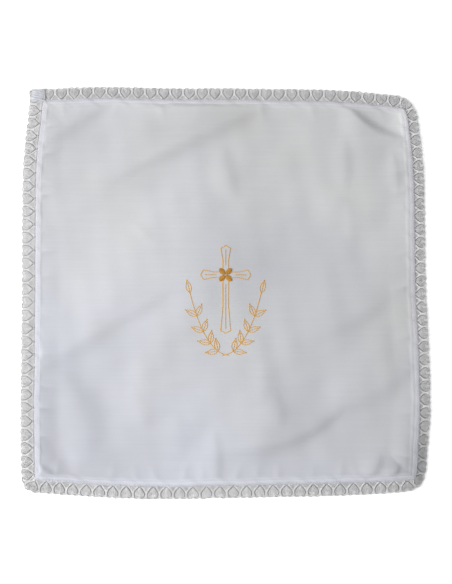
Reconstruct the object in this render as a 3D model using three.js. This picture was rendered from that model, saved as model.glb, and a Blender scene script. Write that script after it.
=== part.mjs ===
// A square baptismal handkerchief lying on a table: a hemmed panel of fine white cotton with
// soft folds, and a narrow lace edging whose heading is lapped under the hem and sewn there.
// Millimetres, +Z up, the table top at z = 0, +Y towards the top of the cloth.
import * as THREE from "three";
import { mergeVertices } from "three/addons/utils/BufferGeometryUtils.js";

// Driving dimensions, in millimetres
const PANEL_WIDTH = 346;
const PANEL_LENGTH = 351;
const CLOTH_THICKNESS = 1.0;
const HEM_WIDTH = 6.6;
const HEM_EXTRA_THICKNESS = 0.5;
const HEM_EDGE_SLOPE = 0.8;
const LACE_THICKNESS = 1.0;
const LACE_VISIBLE_WIDTH = 10.4;
const LACE_LAP_UNDER_HEM = 2.0;
const LACE_REPEAT = 11.8;
const LACE_SCALLOP_DEPTH = 1.0;
const LACE_JOIN_MARGIN = 3.0;
const PIECE_GAP = 0.3;

// Mesh fineness
const PANEL_CELLS = 34;
const RIM_SAMPLES_PER_SIDE = 240;
const RIM_NORMAL_REACH = 1.5;
const SHARED_POINT_TOLERANCE = 1e-3;

// How far each hem edge stands out from the plain rectangle, in millimetres, at seven even
// stations: bottom to top on the left and right sides, left to right on the top and bottom.
const SIDE_BOW = {
  left: [-4.2, -2.4, -1.8, -1.0, 0.0, 0.2, -4.4],
  right: [-5.5, -0.4, 0.0, -1.5, -1.2, -1.3, -6.0],
  top: [-1.4, 0.6, -0.6, -0.8, -1.5, -3.0, -8.0],
  bottom: [-5.0, -1.4, 0.3, -0.4, -1.6, -3.0, -5.8],
};

// How far each corner of the hem is drawn in towards the middle, which rounds it.
const CORNER_PULL = { topLeft: 0.2, topRight: 3.4, bottomRight: 2.6, bottomLeft: 0.8 };
const CORNER_SHARPNESS = 40;

// The main folds, as crests from one point to another. A crest bulges sideways by `bow`, falls
// to the table within `left` and `right` of its line as seen along it, and stands `rise` high.
const FOLDS = [
  { name: "upper left", from: [-110, 97], to: [48, 172], bow: 4, left: 62, right: 15, rise: 6.2 },
  { name: "left", from: [-174, -76], to: [-40, 5], bow: 3, left: 50, right: 17, rise: 4.0 },
  { name: "lower left arc", from: [-148, -70], to: [-120, -160], bow: 6, left: 25, right: 31, rise: 3.8 },
  { name: "lower right", from: [-22, -140], to: [108, -105], bow: -12, left: 38, right: 15, rise: 5.8 },
  { name: "lower right, outer", from: [82, -114], to: [172, -68], bow: 0, left: 36, right: 18, rise: 3.7 },
  { name: "right middle", from: [70, -50], to: [150, -4], bow: 0, left: 36, right: 19, rise: 3.4 },
  { name: "top right", from: [108, 175], to: [170, 136], bow: -12, left: 9, right: 34, rise: 6.0 },
  { name: "upright, right", from: [108, 142], to: [110, 88], bow: 0, left: 10, right: 16, rise: 1.4 },
  { name: "upright, lower", from: [32, -38], to: [26, -174], bow: 0, left: 30, right: 72, rise: 3.9 },
  { name: "upright, bottom", from: [-9, -122], to: [-7, -180], bow: 0, left: 9, right: 17, rise: 1.8 },
  { name: "dimple", from: [-1, 134], to: [12, 78], bow: -5, left: 14, right: 22, rise: 2.0 },
  { name: "top left corner", from: [-178, 126], to: [-98, 178], bow: 0, left: 15, right: 11, rise: 2.6 },
  { name: "first corner crease", from: [120, -175], to: [140, -146], bow: 0, left: 13, right: 8, rise: 2.4 },
  { name: "second corner crease", from: [136, -180], to: [155, -153], bow: 0, left: 10, right: 6, rise: 2.6 },
];
const FOLD_END_WIDTH = 0.4;
const FOLD_END_SOFTNESS = 1.3;

// The hem rests on the lace, so the cloth comes down to the table over a short way inside it.
const HEM_LIFT = LACE_THICKNESS + PIECE_GAP;
const LIFT_STARTS = HEM_WIDTH + 2 * HEM_EDGE_SLOPE;
const LIFT_ENDS = 24;
const FOLDS_START = HEM_WIDTH;
const FOLDS_FULL = 16;

// One lace repeat holds a drop of net hung from the outer edge inside a drop-shaped slot. The
// rows give the half-widths of both at a depth below the outer edge; their tips lie deeper.
const DROP_ROWS = [
  { depth: 2.3, slotHalf: 2.9, netHalf: 1.4 },
  { depth: 4.1, slotHalf: 4.7, netHalf: 3.1 },
  { depth: 7.0, slotHalf: 3.5, netHalf: 1.9 },
];
const SLOT_TIP_DEPTH = 10.2;
const NET_TIP_DEPTH = 8.6;

const HALF_WIDTH = PANEL_WIDTH / 2;
const HALF_LENGTH = PANEL_LENGTH / 2;

const COTTON = new THREE.MeshStandardMaterial({ color: 0xcbccce, roughness: 0.85, metalness: 0 });
const LACE = new THREE.MeshStandardMaterial({ color: 0xc6c4c2, roughness: 0.8, metalness: 0 });

// Outline of the cloth

// A smooth curve through the seven stations of a side, read at -1 to 1 along it.
function bowCurve(bows) {
  const spline = new THREE.SplineCurve(bows.map((bow, i) => new THREE.Vector2(i, bow)));
  return (along) => spline.getPoint((along + 1) / 2).y;
}

const bow = {
  left: bowCurve(SIDE_BOW.left),
  right: bowCurve(SIDE_BOW.right),
  top: bowCurve(SIDE_BOW.top),
  bottom: bowCurve(SIDE_BOW.bottom),
};

// The place on the table of the panel's point (across, up), each from -1 at one hem edge to 1.
function panelPoint(across, up) {
  const toRight = (1 + across) / 2;
  const toTop = (1 + up) / 2;
  const x = across * HALF_WIDTH + toRight * bow.right(up) - (1 - toRight) * bow.left(up);
  const y = up * HALF_LENGTH + toTop * bow.top(across) - (1 - toTop) * bow.bottom(across);
  const cornerName = (up > 0 ? "top" : "bottom") + (across > 0 ? "Right" : "Left");
  const pull = CORNER_PULL[cornerName] * Math.abs(across * up) ** CORNER_SHARPNESS;
  return new THREE.Vector2(x - Math.sign(across) * pull, y - Math.sign(up) * pull);
}

// How far the panel's point (across, up) lies inside the nearest hem edge.
function insideEdge(across, up) {
  return Math.min((1 - Math.abs(across)) * HALF_WIDTH, (1 - Math.abs(up)) * HALF_LENGTH);
}

// Height of the cloth

// The height that one fold adds at a point of the table. It narrows and sinks to its ends.
function foldHeight(fold, point) {
  const start = new THREE.Vector2(...fold.from);
  const along = new THREE.Vector2(...fold.to).sub(start);
  const length = along.length();
  along.normalize();
  const offset = point.clone().sub(start);
  const share = offset.dot(along) / length;
  if (share <= 0 || share >= 1) return 0;
  const sideways = along.x * offset.y - along.y * offset.x - 4 * fold.bow * share * (1 - share);
  const body = Math.sin(Math.PI * share) ** FOLD_END_SOFTNESS;
  const narrowing = FOLD_END_WIDTH + (1 - FOLD_END_WIDTH) * body;
  const reach = (sideways > 0 ? fold.left : fold.right) * narrowing;
  if (Math.abs(sideways) >= reach) return 0;
  return fold.rise * body * Math.cos((Math.PI / 2) * (sideways / reach)) ** 2;
}

// The cloth's underside above the table: its folds, and the lift where the hem lies on the lace.
function undersideHeight(across, up) {
  const point = panelPoint(across, up);
  const inside = insideEdge(across, up);
  const lift = HEM_LIFT * (1 - THREE.MathUtils.smoothstep(inside, LIFT_STARTS, LIFT_ENDS));
  const folds = FOLDS.reduce((sum, fold) => sum + foldHeight(fold, point), 0);
  return lift + folds * THREE.MathUtils.smoothstep(inside, FOLDS_START, FOLDS_FULL);
}

function clothThickness(across, up) {
  const onHem = insideEdge(across, up) < HEM_WIDTH + HEM_EDGE_SLOPE / 2;
  return CLOTH_THICKNESS + (onHem ? HEM_EXTRA_THICKNESS : 0);
}

// Cloth panel

// Grid lines from -1 to 1: the edge, both sides of the hem's inner step, then even cells.
function gridStations(half) {
  const hemLine = 1 - HEM_WIDTH / half;
  const clothLine = 1 - (HEM_WIDTH + HEM_EDGE_SLOPE) / half;
  const inner = [];
  for (let i = 0; i <= PANEL_CELLS; i++) inner.push(clothLine * ((2 * i) / PANEL_CELLS - 1));
  return [-1, -hemLine, ...inner, hemLine, 1];
}

// A closed solid from the two faces of a grid of points and the wall round their edge.
function sheetGeometry(columns, rows, lowerPoint, upperPoint) {
  const positions = [];
  const index = [];
  const lower = (i, j) => j * columns + i;
  const upper = (i, j) => columns * rows + lower(i, j);
  for (const pointAt of [lowerPoint, upperPoint])
    for (let j = 0; j < rows; j++)
      for (let i = 0; i < columns; i++) positions.push(...pointAt(i, j));
  const quad = (a, b, c, d) => index.push(a, b, c, a, c, d);
  for (let j = 0; j + 1 < rows; j++)
    for (let i = 0; i + 1 < columns; i++) {
      quad(upper(i, j), upper(i + 1, j), upper(i + 1, j + 1), upper(i, j + 1));
      quad(lower(i, j), lower(i, j + 1), lower(i + 1, j + 1), lower(i + 1, j));
    }
  const last = { column: columns - 1, row: rows - 1 };
  for (let i = 0; i + 1 < columns; i++) {
    quad(lower(i, 0), lower(i + 1, 0), upper(i + 1, 0), upper(i, 0));
    quad(lower(i + 1, last.row), lower(i, last.row), upper(i, last.row), upper(i + 1, last.row));
  }
  for (let j = 0; j + 1 < rows; j++) {
    quad(lower(0, j + 1), lower(0, j), upper(0, j), upper(0, j + 1));
    quad(lower(last.column, j), lower(last.column, j + 1), upper(last.column, j + 1), upper(last.column, j));
  }
  return geometryFrom(positions, index);
}

function geometryFrom(positions, index) {
  const geometry = new THREE.BufferGeometry();
  geometry.setAttribute("position", new THREE.Float32BufferAttribute(positions, 3));
  geometry.setIndex(index);
  return geometry;
}

function clothPanel() {
  const across = gridStations(HALF_WIDTH);
  const up = gridStations(HALF_LENGTH);
  const surface = (i, j, above) => {
    const { x, y } = panelPoint(across[i], up[j]);
    return [x, y, undersideHeight(across[i], up[j]) + above];
  };
  const geometry = sheetGeometry(
    across.length,
    up.length,
    (i, j) => surface(i, j, 0),
    (i, j) => surface(i, j, clothThickness(across[i], up[j])),
  );
  geometry.computeVertexNormals();
  const mesh = new THREE.Mesh(geometry, COTTON);
  mesh.name = "cloth_panel";
  return mesh;
}

// Lace edging

// The hem's outer edge as an open run of points: clockwise from the top left corner and back.
function rimPoints() {
  const sides = [
    (share) => panelPoint(2 * share - 1, 1),
    (share) => panelPoint(1, 1 - 2 * share),
    (share) => panelPoint(1 - 2 * share, -1),
    (share) => panelPoint(-1, 2 * share - 1),
  ];
  const points = [];
  for (const side of sides)
    for (let i = 0; i < RIM_SAMPLES_PER_SIDE; i++) points.push(side(i / RIM_SAMPLES_PER_SIDE));
  points.push(sides[0](0));
  return points;
}

// A ruler along the rim: its length, and the point a distance along it and outwards from it.
function rimRuler() {
  const points = rimPoints();
  const marks = [0];
  for (let i = 1; i < points.length; i++)
    marks.push(marks[i - 1] + points[i].distanceTo(points[i - 1]));
  const length = marks[marks.length - 1];
  const pointAt = (distance) => {
    let i = 1;
    while (i < points.length - 1 && marks[i] < distance) i++;
    const share = (distance - marks[i - 1]) / (marks[i] - marks[i - 1]);
    return points[i - 1].clone().lerp(points[i], share);
  };
  const outwards = (distance) => {
    const before = pointAt(Math.max(distance - RIM_NORMAL_REACH, 0));
    const after = pointAt(Math.min(distance + RIM_NORMAL_REACH, length));
    const direction = after.sub(before).normalize();
    return new THREE.Vector2(-direction.y, direction.x);
  };
  return {
    length,
    place: (distance, out) => pointAt(distance).addScaledVector(outwards(distance), out),
    outwards,
  };
}

// The outer edge of one repeat: two small scallops, from one post of the lace to the next.
function scallopEdge() {
  const notch = LACE_VISIBLE_WIDTH - LACE_SCALLOP_DEPTH;
  return [notch, LACE_VISIBLE_WIDTH, notch, LACE_VISIBLE_WIDTH, notch].map(
    (out, i, all) => new THREE.Vector2(i / (all.length - 1), out),
  );
}

// The slot round the net drop of one repeat: down its right side, up its left, back by the net.
function dropSlot() {
  const at = (sideways, depth) =>
    new THREE.Vector2(0.5 + sideways / LACE_REPEAT, LACE_VISIBLE_WIDTH - depth);
  const rowsUp = [...DROP_ROWS].reverse();
  return [
    ...DROP_ROWS.map((row) => at(row.slotHalf, row.depth)),
    at(0, SLOT_TIP_DEPTH),
    ...rowsUp.map((row) => at(-row.slotHalf, row.depth)),
    ...DROP_ROWS.map((row) => at(-row.netHalf, row.depth)),
    at(0, NET_TIP_DEPTH),
    ...rowsUp.map((row) => at(row.netHalf, row.depth)),
  ];
}

// Adds a flat plate to the lists: both faces of an outline with a hole, and the walls along the
// runs of points that are open to the air.
function addPlate(positions, index, outline, holes, openRuns) {
  const points = [outline, ...holes].flat();
  const base = positions.length / 3;
  const levels = [0, LACE_THICKNESS];
  for (const z of levels) for (const { x, y } of points) positions.push(x, y, z);
  for (const [a, b, c] of THREE.ShapeUtils.triangulateShape([...outline], holes.map((h) => [...h]))) {
    index.push(base + a, base + c, base + b);
    index.push(base + points.length + a, base + points.length + b, base + points.length + c);
  }
  for (const run of openRuns)
    for (let i = 0; i + 1 < run.length; i++) {
      const start = positions.length / 3;
      for (const { x, y } of [run[i], run[i + 1]]) for (const z of levels) positions.push(x, y, z);
      index.push(start, start + 2, start + 3, start, start + 3, start + 1);
    }
}

function laceEdging() {
  const rim = rimRuler();
  const runLength = rim.length - 2 * LACE_JOIN_MARGIN;
  const repeats = Math.round(runLength / LACE_REPEAT);
  const positions = [];
  const index = [];
  for (let repeat = 0; repeat < repeats; repeat++) {
    const lay = ({ x, y }) => rim.place(LACE_JOIN_MARGIN + ((repeat + x) / repeats) * runLength, y);
    const heading = [0, 1].map((share) => lay({ x: share, y: -LACE_LAP_UNDER_HEM }));
    const scallops = scallopEdge().map(lay).reverse();
    const slot = dropSlot().map(lay);
    addPlate(positions, index, [...heading, ...scallops], [slot], [heading, scallops, [...slot, slot[0]]]);
  }
  addLaceJoin(positions, index, rim);
  const geometry = mergeVertices(geometryFrom(positions, index), SHARED_POINT_TOLERANCE);
  geometry.computeVertexNormals();
  const mesh = new THREE.Mesh(geometry, LACE);
  mesh.name = "lace_edging";
  return mesh;
}

// The two ends of the lace meet at the top left corner in a plain square of lapped lace.
function addLaceJoin(positions, index, rim) {
  const start = LACE_JOIN_MARGIN;
  const finish = rim.length - LACE_JOIN_MARGIN;
  const notch = LACE_VISIBLE_WIDTH - LACE_SCALLOP_DEPTH;
  const innerEnds = [finish, start].map((distance) => rim.place(distance, -LACE_LAP_UNDER_HEM));
  const outerEnds = [start, finish].map((distance) => rim.place(distance, notch));
  const corner = rim
    .place(0, 0)
    .addScaledVector(rim.outwards(start), notch)
    .addScaledVector(rim.outwards(finish), notch);
  const outer = [outerEnds[0], corner, outerEnds[1]];
  addPlate(positions, index, [...innerEnds, ...outer], [], [innerEnds, outer]);
}

const handkerchief = new THREE.Group();
handkerchief.add(clothPanel(), laceEdging());

export default handkerchief;
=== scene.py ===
# %% [markdown]
# # A baptismal handkerchief
# A square of fine white cotton is turned up in a narrow hem, edged with lace and embroidered in
# gold. It lies on a table, not quite flat, the way a cloth does after it was folded in a drawer.
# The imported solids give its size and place. This lesson puts real cloth, lace and thread there.
# Tables hold millimetres, and MM turns them into Blender's metres when a mesh is made.

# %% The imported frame
import math

import bpy
import numpy as np
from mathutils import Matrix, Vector


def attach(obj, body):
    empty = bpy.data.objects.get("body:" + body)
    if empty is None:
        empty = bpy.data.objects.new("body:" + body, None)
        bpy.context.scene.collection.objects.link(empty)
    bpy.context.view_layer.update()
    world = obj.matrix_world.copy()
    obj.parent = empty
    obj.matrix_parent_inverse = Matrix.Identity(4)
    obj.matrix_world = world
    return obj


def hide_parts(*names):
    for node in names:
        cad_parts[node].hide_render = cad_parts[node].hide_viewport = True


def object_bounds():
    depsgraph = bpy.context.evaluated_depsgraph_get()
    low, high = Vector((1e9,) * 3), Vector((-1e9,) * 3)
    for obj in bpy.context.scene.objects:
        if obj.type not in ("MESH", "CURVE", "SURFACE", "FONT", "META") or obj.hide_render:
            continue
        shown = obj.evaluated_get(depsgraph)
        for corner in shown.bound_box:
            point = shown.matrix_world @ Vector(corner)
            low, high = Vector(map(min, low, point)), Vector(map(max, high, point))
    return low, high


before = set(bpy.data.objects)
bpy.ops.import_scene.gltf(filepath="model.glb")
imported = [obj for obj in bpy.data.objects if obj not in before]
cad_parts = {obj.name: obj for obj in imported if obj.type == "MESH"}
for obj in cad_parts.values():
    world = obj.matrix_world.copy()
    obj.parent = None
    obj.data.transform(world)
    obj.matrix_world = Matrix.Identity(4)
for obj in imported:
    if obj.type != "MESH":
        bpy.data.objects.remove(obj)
cad_low, cad_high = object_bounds()
MM = 0.001
cad_size = [round((high - low) / MM, 1) for low, high in zip(cad_low, cad_high)]
print(len(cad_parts), "solids span", cad_size, "mm")

# %% [markdown]
# ## Camera and light
# The photograph looks almost straight down, from the side of the bottom hem. Its scale at the
# middle of the cloth and the distance give the lens. A large soft lamp stands low on the left:
# light that skims over the cloth is what makes shallow folds visible. The sky fills the shadows.

# %% Camera
PHOTO_HEIGHT = 584
PHOTO_MM_PER_PIXEL = 0.9
CAMERA_DISTANCE = 0.70
CAMERA_ELEVATION = math.radians(85)
CAMERA_TARGET = Vector((0.0015, -0.0032, 0.0))
SENSOR_SIZE = 36.0


def add_to_scene(name, data):
    piece = bpy.data.objects.new(name, data)
    bpy.context.scene.collection.objects.link(piece)
    return piece


def add_camera():
    data = bpy.data.cameras.new("camera")
    data.sensor_width = SENSOR_SIZE
    data.lens = SENSOR_SIZE * CAMERA_DISTANCE / (PHOTO_HEIGHT * PHOTO_MM_PER_PIXEL * MM)
    camera = add_to_scene("camera", data)
    back = Vector((0, -math.cos(CAMERA_ELEVATION), math.sin(CAMERA_ELEVATION)))
    camera.location = CAMERA_TARGET + CAMERA_DISTANCE * back
    camera.rotation_euler = (-back).to_track_quat("-Z", "Y").to_euler()
    bpy.context.scene.camera = camera
    print("camera lens", round(data.lens, 1), "mm")


add_camera()

# %% Lamp and sky
LAMP_PLACE = Vector((-1.10, -0.12, 0.80))
LAMP_SIZE = 0.8
LAMP_WATTS = 17.0
SKY_STRENGTH = 0.55
SKY_COLOR = (0.97, 0.985, 1.0, 1)


def add_lamp():
    data = bpy.data.lights.new("window_light", "AREA")
    data.size = LAMP_SIZE
    data.energy = LAMP_WATTS
    lamp = add_to_scene("window_light", data)
    lamp.location = LAMP_PLACE
    lamp.rotation_euler = (-LAMP_PLACE).to_track_quat("-Z", "Y").to_euler()


def add_sky():
    world = bpy.data.worlds.new("soft_sky")
    bpy.context.scene.world = world
    world.use_nodes = True
    background = world.node_tree.nodes["Background"]
    background.inputs["Color"].default_value = SKY_COLOR
    background.inputs["Strength"].default_value = SKY_STRENGTH


add_lamp()
add_sky()
bpy.context.scene.view_settings.view_transform = "Standard"
print("lamp", LAMP_WATTS, "W from the left, sky", SKY_STRENGTH)

# %% [markdown]
# ## The table
# The cloth lies on a plain white table. Little light comes in under the lace. An Ambient Occlusion
# node finds those places, and there the table's colour is painted grey, a painted shade that shows
# through the holes. Elsewhere the table has a faint painted glow, so that it comes out white. The
# helpers that come first set up shader nodes, here and in all the materials that follow.

# %% Shader node helpers
MIX_FIRST, MIX_SECOND, MIX_RESULT = 6, 7, 2  # the sockets of a Mix node that hold colours


def srgb(red, green, blue):
    """A colour as it reads on a screen, 0 to 255, as the linear values that shaders use."""
    steps = np.array([red, green, blue]) / 255
    linear = np.where(steps <= 0.04045, steps / 12.92, ((steps + 0.055) / 1.055) ** 2.4)
    return (*(float(x) for x in linear), 1.0)


def feed(tree, socket, value):
    """Links an output to a socket, or sets the socket's own value."""
    if isinstance(value, bpy.types.NodeSocket):
        tree.links.new(value, socket)
    else:
        socket.default_value = value


def math_node(tree, operation, first, second=0.0):
    """A maths node on two outputs or plain numbers; gives back its output."""
    node = tree.nodes.new("ShaderNodeMath")
    node.operation = operation
    feed(tree, node.inputs[0], first)
    feed(tree, node.inputs[1], second)
    return node.outputs[0]


def mix_colors(tree, factor, first, second, blend="MIX"):
    """A mix of two colours, each an output or a plain colour; gives back its output."""
    node = tree.nodes.new("ShaderNodeMix")
    node.data_type = "RGBA"
    node.blend_type = blend
    feed(tree, node.inputs["Factor"], factor)
    feed(tree, node.inputs[MIX_FIRST], first)
    feed(tree, node.inputs[MIX_SECOND], second)
    return node.outputs[MIX_RESULT]


# %% Table top
FLOOR_SIZE = 6.0
FLOOR_DROP = 0.3
FLOOR_COLOR = srgb(248, 248, 248)
FLOOR_SHADE = srgb(204, 203, 204)
FLOOR_SHADE_REACH = 9.0
FLOOR_SHADED, FLOOR_OPEN = 0.5, 0.72
FLOOR_GLOW = 0.32
FLOOR_ROUGHNESS, FLOOR_SPECULAR = 0.9, 0.1


def floor_material():
    material = bpy.data.materials.new("pale_floor")
    material.use_nodes = True
    tree = material.node_tree
    shader = tree.nodes["Principled BSDF"].inputs
    shader["Roughness"].default_value = FLOOR_ROUGHNESS
    shader["Specular IOR Level"].default_value = FLOOR_SPECULAR
    shader["Emission Color"].default_value = (1, 1, 1, 1)
    occlusion = tree.nodes.new("ShaderNodeAmbientOcclusion")
    occlusion.inputs["Distance"].default_value = FLOOR_SHADE_REACH * MM
    ramp = tree.nodes.new("ShaderNodeMapRange")
    ramp.inputs["From Min"].default_value = FLOOR_SHADED
    ramp.inputs["From Max"].default_value = FLOOR_OPEN
    tree.links.new(occlusion.outputs["AO"], ramp.inputs["Value"])
    openness = ramp.outputs["Result"]
    # painted shade where the occlusion node finds little open space, and a painted glow elsewhere
    feed(tree, shader["Base Color"], mix_colors(tree, openness, FLOOR_SHADE, FLOOR_COLOR))
    feed(tree, shader["Emission Strength"], math_node(tree, "MULTIPLY", openness, FLOOR_GLOW))
    return material


def add_floor():
    half = FLOOR_SIZE / 2
    low = -FLOOR_DROP * MM
    mesh = bpy.data.meshes.new("floor")
    corners = [(-half, -half, low), (half, -half, low), (half, half, low), (-half, half, low)]
    mesh.from_pydata(corners, [], [(0, 1, 2, 3)])
    mesh.materials.append(floor_material())
    add_to_scene("floor", mesh)


add_floor()
print("floor", FLOOR_SIZE, "m wide, shaded within", FLOOR_SHADE_REACH, "mm of the cloth")

# %% [markdown]
# ## The outline of the cloth
# No hand-sewn square is square. Each hem bows in or out by a few millimetres, and three of the
# corners are drawn in where the lace was eased round them. A table of seven stations for each
# side, joined by a smooth curve, holds that. A point of the cloth is then named by how far it
# lies across and up, each from -1 at one hem to 1 at the other.

# %% Outline
PANEL_WIDTH, PANEL_LENGTH = 346.0, 351.0
SIDE_BOW = {
    "left": [-4.2, -2.4, -1.8, -1.0, 0.0, 0.2, -4.4],
    "right": [-5.5, -0.4, 0.0, -1.5, -1.2, -1.3, -6.0],
    "top": [-1.4, 0.6, -0.6, -0.8, -1.5, -3.0, -8.0],
    "bottom": [-5.0, -1.4, 0.3, -0.4, -1.6, -3.0, -5.8],
}
CORNER_PULL = {
    ("top", "left"): 0.2, ("top", "right"): 3.4, ("bottom", "right"): 2.6, ("bottom", "left"): 0.8,
}
CORNER_SHARPNESS = 40


def smooth_stretch(before, start, finish, after, t):
    """A smooth curve from start to finish, for t from 0 to 1, that heeds the points on either side."""
    leave, arrive = (finish - before) / 2, (after - start) / 2
    cubic = 2 * start - 2 * finish + leave + arrive
    square = 3 * finish - 3 * start - 2 * leave - arrive
    return ((cubic * t + square) * t + leave) * t + start


def bow_curve(bows):
    """A smooth curve through even stations, read at -1 to 1 along its side."""
    ends = np.concatenate([bows[:1], bows, bows[-1:]])

    def read(along):
        place = (np.asarray(along, float) + 1) / 2 * (len(bows) - 1)
        i = np.clip(place.astype(int), 0, len(bows) - 2)
        return smooth_stretch(*(ends[i + k] for k in range(4)), place - i)

    return read


bow = {side: bow_curve(np.array(bows)) for side, bows in SIDE_BOW.items()}


def panel_point(across, up):
    """The place on the table, in millimetres, of a point of the panel."""
    to_right, to_top = (1 + across) / 2, (1 + up) / 2
    x = across * PANEL_WIDTH / 2 + to_right * bow["right"](up) - (1 - to_right) * bow["left"](up)
    y = up * PANEL_LENGTH / 2 + to_top * bow["top"](across) - (1 - to_top) * bow["bottom"](across)
    for (row, column), pull in CORNER_PULL.items():
        here = (up > 0) == (row == "top")
        here = here & ((across > 0) == (column == "right"))
        drawn_in = np.where(here, pull * np.abs(across * up) ** CORNER_SHARPNESS, 0)
        x = x - np.sign(across) * drawn_in
        y = y - np.sign(up) * drawn_in
    return x, y


def inside_edge(across, up):
    """How far inside the nearest hem edge a point of the panel lies, in millimetres."""
    return np.minimum((1 - np.abs(across)) * PANEL_WIDTH, (1 - np.abs(up)) * PANEL_LENGTH) / 2


TOP_LEFT = (np.array(-1.0), np.array(1.0))
print("top left corner of the panel", [round(float(c), 1) for c in panel_point(*TOP_LEFT)], "mm")

# %% [markdown]
# ## Folds, puckers and the raised edge
# A fold is a low crest from one point to another that falls gently on one side and steeply on
# the other. The cloth is pulled up in small puckers where the hem was sewn a little tight. The
# hem lies on the lace, so it stands above the table, most of all at the bottom right corner.
# Simulated cloth would fold somewhere else each time, so these are listed one by one, as drawn.

# %% Folds
FOLDS = [
    # from, to, bow, left, right, rise
    ((-110, 97), (48, 172), 4, 62, 15, 6.2),
    ((-174, -76), (-40, 5), 3, 50, 17, 4.0),
    ((-148, -70), (-120, -160), 6, 25, 31, 3.8),
    ((-170, -128), (-132, -178), 9, 12, 12, -1.1),
    ((-22, -140), (108, -105), -12, 38, 15, 5.8),
    ((82, -114), (172, -68), 0, 36, 18, 3.7),
    ((70, -50), (150, -4), 0, 36, 19, 3.4),
    ((108, 175), (170, 136), -12, 9, 34, 6.0),
    ((108, 142), (110, 88), 0, 10, 16, 1.4),
    ((112, 80), (115, 40), 2, 24, 11, 1.2),
    ((32, -38), (26, -174), 0, 30, 72, 3.9),
    ((-9, -122), (-7, -180), 0, 9, 17, 1.8),
    ((-1, 134), (12, 78), -5, 14, 22, 2.0),
    ((-30, 108), (-18, -44), 0, 60, 80, 3.0),
    ((44, -92), (50, -126), 0, 10, 17, 1.0),
    ((-84, -86), (-68, -128), 0, 15, 18, 1.2),
    ((-44, -108), (-38, -150), 0, 16, 20, 1.3),
    ((-178, 126), (-98, 178), 0, 15, 11, 2.6),
    ((-86, 60), (-64, 44), 0, 7, 7, 0.6),
    ((120, -175), (140, -146), 0, 13, 8, 2.4),
    ((136, -180), (155, -153), 0, 10, 6, 2.6),
    ((-173, -152), (-139, -174), 0, 5, 8, 2.4),
    ((153, 126), (157, 84), 0, 7, 12, 1.2),
]
FOLD_SHARPNESS = 2.2
FOLD_END_WIDTH = 0.4
FOLD_END_SOFTNESS = 1.3
HEM_WIDTH = 7.4
HEM_LIFT = 1.1
HEM_RIPPLES = [(9, 0.08, 0.0), (14, 0.12, 1.0), (25, 0.16, 2.0)]
HEM_WANDER = [(17, 0.10, 0.5), (29, 0.14, 1.5), (61, 0.20, 2.5)]
HEM_TILT = 0.8
CLOTH_REST = 0.8
LIFT_STARTS, LIFT_ENDS = 8.5, 26.0
FOLDS_START, FOLDS_FULL = 4.5, 9.5
TABLE_SOFTNESS = 0.15


def smoothstep(value, low, high):
    t = np.clip((value - low) / (high - low), 0, 1)
    return t * t * (3 - 2 * t)


def fold_height(x, y, start, finish, bulge, left, right, rise):
    """The height that one fold adds at points of the table. It narrows and sinks to its ends."""
    along = np.subtract(finish, start)
    length = np.linalg.norm(along)
    along = along / length
    east, north = x - start[0], y - start[1]
    share = np.clip((east * along[0] + north * along[1]) / length, 0, 1)
    sideways = along[0] * north - along[1] * east - 4 * bulge * share * (1 - share)
    body = np.sin(math.pi * share) ** FOLD_END_SOFTNESS
    reach = np.where(sideways > 0, left, right) * (FOLD_END_WIDTH + (1 - FOLD_END_WIDTH) * body)
    return rise * body * np.exp(-FOLD_SHARPNESS * (sideways / reach) ** 2)


print(len(FOLDS), "folds, up to", max(fold[-1] for fold in FOLDS), "mm high")

# %% Slight unevenness
WAVE_COUNT = 18
WAVE_LENGTHS = (18.0, 90.0)
WAVE_STEEPNESS = 0.0023
wave_random = np.random.default_rng(5)
wave_angles = wave_random.uniform(0, 2 * math.pi, WAVE_COUNT)
wave_phases = wave_random.uniform(0, 2 * math.pi, WAVE_COUNT)
wave_lengths = np.geomspace(*WAVE_LENGTHS, WAVE_COUNT)


def unevenness(x, y):
    """The cloth's small hills and hollows: shallow waves of many lengths that cross each other."""
    height = np.full_like(x, CLOTH_REST)
    for length, angle, phase in zip(wave_lengths, wave_angles, wave_phases):
        travel = (x * math.cos(angle) + y * math.sin(angle)) * 2 * math.pi / length
        height = height + WAVE_STEEPNESS * length * np.sin(travel + phase)
    return np.maximum(height, 0)


print(WAVE_COUNT, "waves, from", WAVE_LENGTHS[0], "to", WAVE_LENGTHS[1], "mm long")

# %% Puckers along the hem
HEM_PUCKERS = {
    # Places along the side in millimetres, with the height of the pucker there
    "top": [(-150, 0.6), (-132, 0.5), (-96, 0.4), (-61, 0.8), (-20, 0.4), (32, 1.0), (77, 0.8), (140, 0.4)],
    "bottom": [(-148, 0.7), (-100, 0.7), (-76, 0.6), (-58, 0.7), (-37, 0.8), (-19, 0.9), (8, 0.8),
               (26, 0.6), (47, 0.8), (76, 0.5), (101, 0.9), (118, 0.7)],
    "left": [(146, 0.8), (121, 1.0), (98, 0.9), (84, 1.2), (55, 0.7), (32, 0.8), (8, 0.5), (-20, 0.5),
             (-60, 0.7), (-84, 0.9), (-103, 1.2), (-128, 0.9)],
    "right": [(126, 0.5), (107, 0.8), (92, 0.6), (70, 0.4), (36, 0.4), (5, 0.8), (-40, 0.5), (-74, 0.5),
              (-110, 0.6), (-150, 0.7)],
}
PUCKER_LEAN = 0.3
PUCKER_WIDTH = 2.0
PUCKER_CREST = 0.5
PUCKER_FADES, PUCKER_REACH = 8.0, 26.0


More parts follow.
